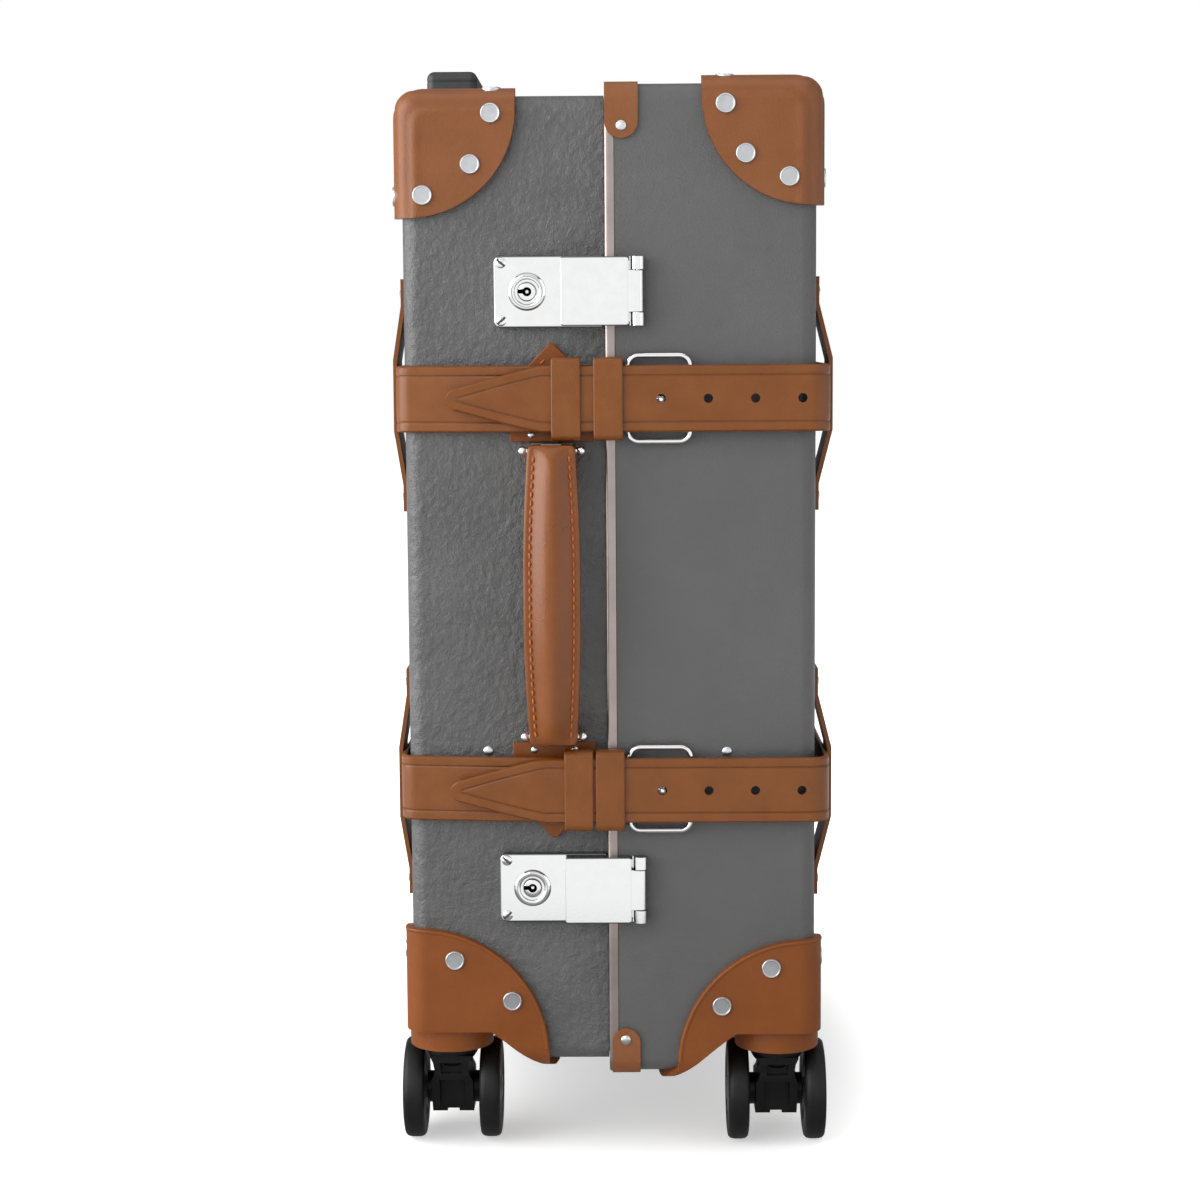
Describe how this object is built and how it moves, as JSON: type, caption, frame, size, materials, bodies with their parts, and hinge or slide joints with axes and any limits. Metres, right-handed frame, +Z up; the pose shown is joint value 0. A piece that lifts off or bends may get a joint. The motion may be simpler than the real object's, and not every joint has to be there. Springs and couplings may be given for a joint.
{
  "type": "carry-on suitcase",
  "caption": "Upright hard-sided carry-on suitcase with leather straps, corner caps, key locks, carry handle, telescopic trolley and twin-wheel spinner casters.",
  "frame": {"origin": "on the floor under the seam between base and lid, midway across the width", "axes": "+Z up, +X from the base with the trolley to the lid, -Y towards the locks and carry handle"},
  "size_m": [0.2162, 0.428, 0.5472],
  "materials": {
    "shell": "satin fine-pebbled",
    "corner": "satin",
    "strap": "satin",
    "handle": "satin",
    "chrome": "polished",
    "steel": "satin",
    "rim": "satin",
    "tube": "satin",
    "grip": "matte",
    "tyre": "matte",
    "fork": "satin",
    "lining": "woven",
    "frame": "satin"
  },
  "bodies": {
    "base": {"base_shell": "shell", "base_lip_frame": "frame", "base_lining": "lining", "base_corner_caps": "corner", "base_wheel_housings": "corner", "base_rivets": "chrome", "trolley_outer_tubes": "tube", "trolley_bezel": "grip", "trolley_foot_block": "grip", "lock_cases": "chrome", "lock_screws": "chrome", "handle_patches": "strap", "handle_brackets": "chrome", "base_straps": "strap", "fixed_keepers": "strap", "base_strap_loops": "strap", "hinge_base_leaves": "steel", "hinge_pins": "steel"},
    "lid": {"lid_shell": "shell", "lid_rim": "rim", "lid_lining": "lining", "lid_corner_caps": "corner", "lid_wheel_housings": "corner", "lid_rivets": "chrome", "rim_tabs": "corner", "lid_straps": "strap", "strap_tongues": "strap", "strap_bends": "strap", "lid_strap_loops": "strap", "hinge_lid_leaves": "steel", "hasp_leaves": "chrome"},
    "carry_handle": {"carry_handle": "handle", "handle_pins": "chrome"},
    "trolley_middle": {"trolley_middle_tubes": "tube"},
    "trolley_top": {"trolley_inner_tubes": "tube", "trolley_grip": "grip"},
    "trolley_button": {"trolley_button": "grip"},
    "upper_hasp": {"upper_hasp": "chrome"},
    "upper_key_plug": {"upper_key_plug": "chrome"},
    "upper_lock_bolt": {"upper_lock_bolt": "steel"},
    "upper_sliding_keeper": {"upper_sliding_keeper": "strap"},
    "upper_buckle": {"upper_buckle": "chrome"},
    "lower_hasp": {"lower_hasp": "chrome"},
    "lower_key_plug": {"lower_key_plug": "chrome"},
    "lower_lock_bolt": {"lower_lock_bolt": "steel"},
    "lower_sliding_keeper": {"lower_sliding_keeper": "strap"},
    "lower_buckle": {"lower_buckle": "chrome"},
    "base_near_caster": {"base_near_fork": "fork"},
    "base_near_left_wheel": {"base_near_left_wheel": "tyre"},
    "base_near_right_wheel": {"base_near_right_wheel": "tyre"},
    "base_far_caster": {"base_far_fork": "fork"},
    "base_far_left_wheel": {"base_far_left_wheel": "tyre"},
    "base_far_right_wheel": {"base_far_right_wheel": "tyre"},
    "lid_near_caster": {"lid_near_fork": "fork"},
    "lid_near_left_wheel": {"lid_near_left_wheel": "tyre"},
    "lid_near_right_wheel": {"lid_near_right_wheel": "tyre"},
    "lid_far_caster": {"lid_far_fork": "fork"},
    "lid_far_left_wheel": {"lid_far_left_wheel": "tyre"},
    "lid_far_right_wheel": {"lid_far_right_wheel": "tyre"}
  },
  "joints": [
    {"name": "lid_hinge", "type": "hinge", "parent": "base", "child": "lid", "pos_m": [0, 0.197, 0.2837], "axis": [0, 0, 1], "range_deg": [0, 100], "deforming": ["strap_tongues", "strap_bends"]},
    {"name": "handle_lift", "type": "slide", "parent": "base", "child": "carry_handle", "axis": [0, -1, 0], "range_m": [0, 0.008]},
    {"name": "trolley_lower_slide", "type": "slide", "parent": "base", "child": "trolley_middle", "axis": [0, 0, 1], "range_m": [0, 0.23]},
    {"name": "trolley_upper_slide", "type": "slide", "parent": "trolley_middle", "child": "trolley_top", "axis": [0, 0, 1], "range_m": [0, 0.23]},
    {"name": "trolley_button_press", "type": "slide", "parent": "trolley_top", "child": "trolley_button", "axis": [0, 0, -1], "range_m": [0, 0.003], "stiffness_N_per_m": 600, "springref_m": -0.002},
    {"name": "upper_hasp_hinge", "type": "hinge", "parent": "lid", "child": "upper_hasp", "pos_m": [0.016, -0.1976, 0.4302], "axis": [0, 0, 1], "range_deg": [0, 165]},
    {"name": "upper_key_turn", "type": "hinge", "parent": "base", "child": "upper_key_plug", "pos_m": [-0.0374, -0.193, 0.4302], "axis": [0, 1, 0], "range_deg": [0, 90]},
    {"name": "upper_bolt_slide", "type": "slide", "parent": "base", "child": "upper_lock_bolt", "axis": [1, 0, 0], "range_m": [0, 0.00495]},
    {"name": "upper_keeper_slide", "type": "slide", "parent": "base", "child": "upper_sliding_keeper", "axis": [1, 0, 0], "range_m": [-0.018, 0.0058]},
    {"name": "upper_buckle_swing", "type": "hinge", "parent": "base", "child": "upper_buckle", "pos_m": [0.0111, -0.19725, 0.38], "axis": [0, 0, -1], "range_deg": [0, 75]},
    {"name": "lower_hasp_hinge", "type": "hinge", "parent": "lid", "child": "lower_hasp", "pos_m": [0.016, -0.1976, 0.1372], "axis": [0, 0, 1], "range_deg": [0, 165]},
    {"name": "lower_key_turn", "type": "hinge", "parent": "base", "child": "lower_key_plug", "pos_m": [-0.0374, -0.193, 0.1372], "axis": [0, 1, 0], "range_deg": [0, 90]},
    {"name": "lower_bolt_slide", "type": "slide", "parent": "base", "child": "lower_lock_bolt", "axis": [1, 0, 0], "range_m": [0, 0.00495]},
    {"name": "lower_keeper_slide", "type": "slide", "parent": "base", "child": "lower_sliding_keeper", "axis": [1, 0, 0], "range_m": [-0.018, 0.001]},
    {"name": "lower_buckle_swing", "type": "hinge", "parent": "base", "child": "lower_buckle", "pos_m": [0.0111, -0.19725, 0.1874], "axis": [0, 0, -1], "range_deg": [0, 75]},
    {"name": "base_near_swivel", "type": "hinge", "parent": "base", "child": "base_near_caster", "pos_m": [-0.08, -0.1685, 0.056], "axis": [0, 0, 1], "continuous": true},
    {"name": "base_near_left_spin", "type": "hinge", "parent": "base_near_caster", "child": "base_near_left_wheel", "pos_m": [-0.0993, -0.1585, 0.0255], "axis": [1, 0, 0], "continuous": true},
    {"name": "base_near_right_spin", "type": "hinge", "parent": "base_near_caster", "child": "base_near_right_wheel", "pos_m": [-0.0607, -0.1585, 0.0255], "axis": [1, 0, 0], "continuous": true},
    {"name": "base_far_swivel", "type": "hinge", "parent": "base", "child": "base_far_caster", "pos_m": [-0.08, 0.1685, 0.056], "axis": [0, 0, 1], "continuous": true},
    {"name": "base_far_left_spin", "type": "hinge", "parent": "base_far_caster", "child": "base_far_left_wheel", "pos_m": [-0.0993, 0.1785, 0.0255], "axis": [1, 0, 0], "continuous": true},
    {"name": "base_far_right_spin", "type": "hinge", "parent": "base_far_caster", "child": "base_far_right_wheel", "pos_m": [-0.0607, 0.1785, 0.0255], "axis": [1, 0, 0], "continuous": true},
    {"name": "lid_near_swivel", "type": "hinge", "parent": "lid", "child": "lid_near_caster", "pos_m": [0.0845, -0.1735, 0.056], "axis": [0, 0, 1], "continuous": true},
    {"name": "lid_near_left_spin", "type": "hinge", "parent": "lid_near_caster", "child": "lid_near_left_wheel", "pos_m": [0.0652, -0.1635, 0.0255], "axis": [1, 0, 0], "continuous": true},
    {"name": "lid_near_right_spin", "type": "hinge", "parent": "lid_near_caster", "child": "lid_near_right_wheel", "pos_m": [0.1038, -0.1635, 0.0255], "axis": [1, 0, 0], "continuous": true},
    {"name": "lid_far_swivel", "type": "hinge", "parent": "lid", "child": "lid_far_caster", "pos_m": [0.0845, 0.1735, 0.056], "axis": [0, 0, 1], "continuous": true},
    {"name": "lid_far_left_spin", "type": "hinge", "parent": "lid_far_caster", "child": "lid_far_left_wheel", "pos_m": [0.0652, 0.1835, 0.0255], "axis": [1, 0, 0], "continuous": true},
    {"name": "lid_far_right_spin", "type": "hinge", "parent": "lid_far_caster", "child": "lid_far_right_wheel", "pos_m": [0.1038, 0.1835, 0.0255], "axis": [1, 0, 0], "continuous": true}
  ],
  "couplings": [
    {"joint": "upper_key_turn", "follows": "upper_bolt_slide", "rad_per_m": 317.33},
    {"joint": "lower_key_turn", "follows": "lower_bolt_slide", "rad_per_m": 317.33}
  ]
}
